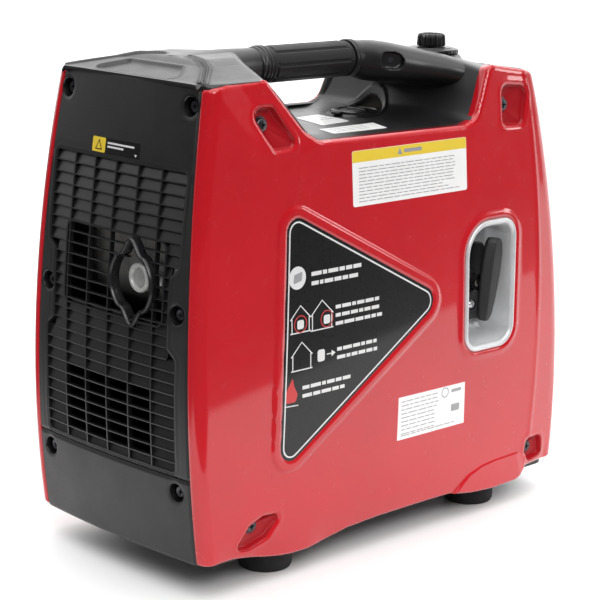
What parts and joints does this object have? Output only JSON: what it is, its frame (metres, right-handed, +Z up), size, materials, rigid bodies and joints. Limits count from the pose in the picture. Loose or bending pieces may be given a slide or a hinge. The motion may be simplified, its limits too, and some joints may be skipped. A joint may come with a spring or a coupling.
{
  "type": "inverter generator",
  "caption": "Portable suitcase inverter generator: closed red and black case with carrying handle, recoil starter, louvred exhaust end, outlet panel and a small air-cooled engine inside.",
  "frame": {"origin": "on the floor under the centre of the bounding box", "axes": "+X towards the outlet panel end, -X exhaust end, -Y recoil starter side, +Z up"},
  "size_m": [0.5053, 0.2381, 0.463],
  "materials": {
    "red_paint": "gloss",
    "black_plastic": "textured",
    "black_trim": "satin",
    "panel_plastic": "satin",
    "grip_rubber": "matte",
    "foot_rubber": "matte",
    "silver_plastic": "satin metallic",
    "black_steel": "satin",
    "steel": "brushed",
    "cast_alloy": "cast",
    "cast_iron": "machined",
    "brass": "satin",
    "copper_winding": "enamelled",
    "tank_plastic": "translucent",
    "label_white": "laminated",
    "label_black": "satin",
    "signal_red": "gloss",
    "signal_lens": "gloss",
    "ceramic": "glazed",
    "rope_fibre": "braided",
    "yellow_plastic": "satin"
  },
  "bodies": {
    "chassis": {"starter_side_panel": "red_paint", "service_side_panel": "red_paint", "rear_cover": "black_plastic", "rear_grille": "black_trim", "rear_lower_cover": "black_plastic", "exhaust_collar": "black_trim", "top_cover": "black_plastic", "handle_grip": "grip_rubber", "front_cover": "black_plastic", "control_panel": "panel_plastic", "base_tray": "black_plastic", "rubber_feet": "foot_rubber", "side_screws": "black_steel", "rear_screws": "black_steel", "triangle_decal": "label_black", "rating_plate": "label_white", "warning_stickers": "label_white", "starter_bezel": "silver_plastic", "starter_cup": "silver_plastic", "starter_cup_screw": "black_steel", "starter_spring": "steel", "starter_housing": "black_trim", "fuel_tank": "tank_plastic", "fuel_hose": "foot_rubber", "ac_sockets": "panel_plastic", "dc_socket": "panel_plastic", "indicator_lights": "signal_lens", "ground_terminal": "brass", "crankcase": "cast_alloy", "cylinder_barrel": "cast_alloy", "cylinder_head": "cast_alloy", "valve_cover": "cast_alloy", "piston": "cast_alloy", "connecting_rod": "cast_iron", "crankshaft": "cast_iron", "spark_plug": "ceramic", "plug_cap": "foot_rubber", "carburettor": "cast_alloy", "air_filter": "black_trim", "muffler": "steel", "spark_arrester": "steel", "heat_shield": "steel", "stator": "copper_winding", "engine_mounts": "foot_rubber", "inverter_module": "cast_alloy"},
    "service_door": {"service_door": "red_paint"},
    "door_latch": {"door_latch": "black_trim"},
    "starter_handle": {"starter_handle": "black_trim", "starter_rope": "rope_fibre"},
    "starter_pulley": {"starter_pulley": "black_trim"},
    "plug_access_cover": {"plug_access_cover": "black_trim"},
    "fuel_cap": {"fuel_cap": "black_trim"},
    "fuel_vent_knob": {"fuel_vent_knob": "black_trim"},
    "engine_switch": {"engine_switch_knob": "black_trim"},
    "ac_lid_left": {"ac_lid_left": "black_trim"},
    "ac_lid_right": {"ac_lid_right": "black_trim"},
    "reset_button": {"reset_button": "signal_red"},
    "eco_rocker": {"eco_rocker": "black_trim"},
    "rotor": {"rotor": "cast_iron"},
    "oil_dipstick": {"oil_dipstick": "yellow_plastic"}
  },
  "joints": [
    {"name": "service_door_hinge", "type": "hinge", "parent": "chassis", "child": "service_door", "pos_m": [-0.0924, 0.1188, 0.236], "axis": [0, 0, 1], "range_deg": [0, 100]},
    {"name": "door_latch_turn", "type": "hinge", "parent": "service_door", "child": "door_latch", "pos_m": [0.034, 0.11, 0.236], "axis": [0, -1, 0], "range_deg": [0, 90]},
    {"name": "starter_pull", "type": "slide", "parent": "chassis", "child": "starter_handle", "axis": [0, -1, 0], "range_m": [0, 0.6], "stiffness_N_per_m": 12},
    {"name": "starter_pulley_spin", "type": "hinge", "parent": "chassis", "child": "starter_pulley", "pos_m": [0.132, 0, 0.198], "axis": [1, 0, 0], "range_deg": [0, 1080]},
    {"name": "plug_cover_lift", "type": "slide", "parent": "chassis", "child": "plug_access_cover", "axis": [0, 0, 1], "range_m": [0, 0.012]},
    {"name": "fuel_cap_turn", "type": "hinge", "parent": "chassis", "child": "fuel_cap", "pos_m": [0.164, 0, 0.446], "axis": [0, 0, 1], "range_deg": [0, 90]},
    {"name": "fuel_vent_turn", "type": "hinge", "parent": "fuel_cap", "child": "fuel_vent_knob", "pos_m": [0.164, 0, 0.456], "axis": [0, 0, 1], "range_deg": [0, 90]},
    {"name": "engine_switch_turn", "type": "hinge", "parent": "chassis", "child": "engine_switch", "pos_m": [0.22022, -0.062, 0.38631], "axis": [0.989, 0, 0.1478], "range_deg": [0, 90]},
    {"name": "ac_lid_left_hinge", "type": "hinge", "parent": "chassis", "child": "ac_lid_left", "pos_m": [0.23992, -0.038, 0.28157], "axis": [0, -1, 0], "range_deg": [0, 110], "stiffness_Nm_per_rad": 0.02},
    {"name": "ac_lid_right_hinge", "type": "hinge", "parent": "chassis", "child": "ac_lid_right", "pos_m": [0.23992, 0.038, 0.28157], "axis": [0, -1, 0], "range_deg": [0, 110], "stiffness_Nm_per_rad": 0.02},
    {"name": "reset_button_press", "type": "slide", "parent": "chassis", "child": "reset_button", "axis": [-0.989, 0, -0.1478], "range_m": [0, 0.003], "stiffness_N_per_m": 400},
    {"name": "eco_rocker_tilt", "type": "hinge", "parent": "chassis", "child": "eco_rocker", "pos_m": [0.22326, 0.002, 0.33217], "axis": [-0.1478, 0, 0.989], "range_deg": [0, 14]},
    {"name": "rotor_spin", "type": "hinge", "parent": "chassis", "child": "rotor", "pos_m": [0.09, 0, 0.198], "axis": [1, 0, 0], "continuous": true},
    {"name": "oil_dipstick_turn", "type": "hinge", "parent": "chassis", "child": "oil_dipstick", "pos_m": [0.044, 0.06, 0.178], "axis": [0, 1, 0], "range_deg": [0, 720]}
  ],
  "couplings": [
    {"joint": "starter_pulley_spin", "follows": "starter_pull", "rad_per_m": 31.25}
  ]
}
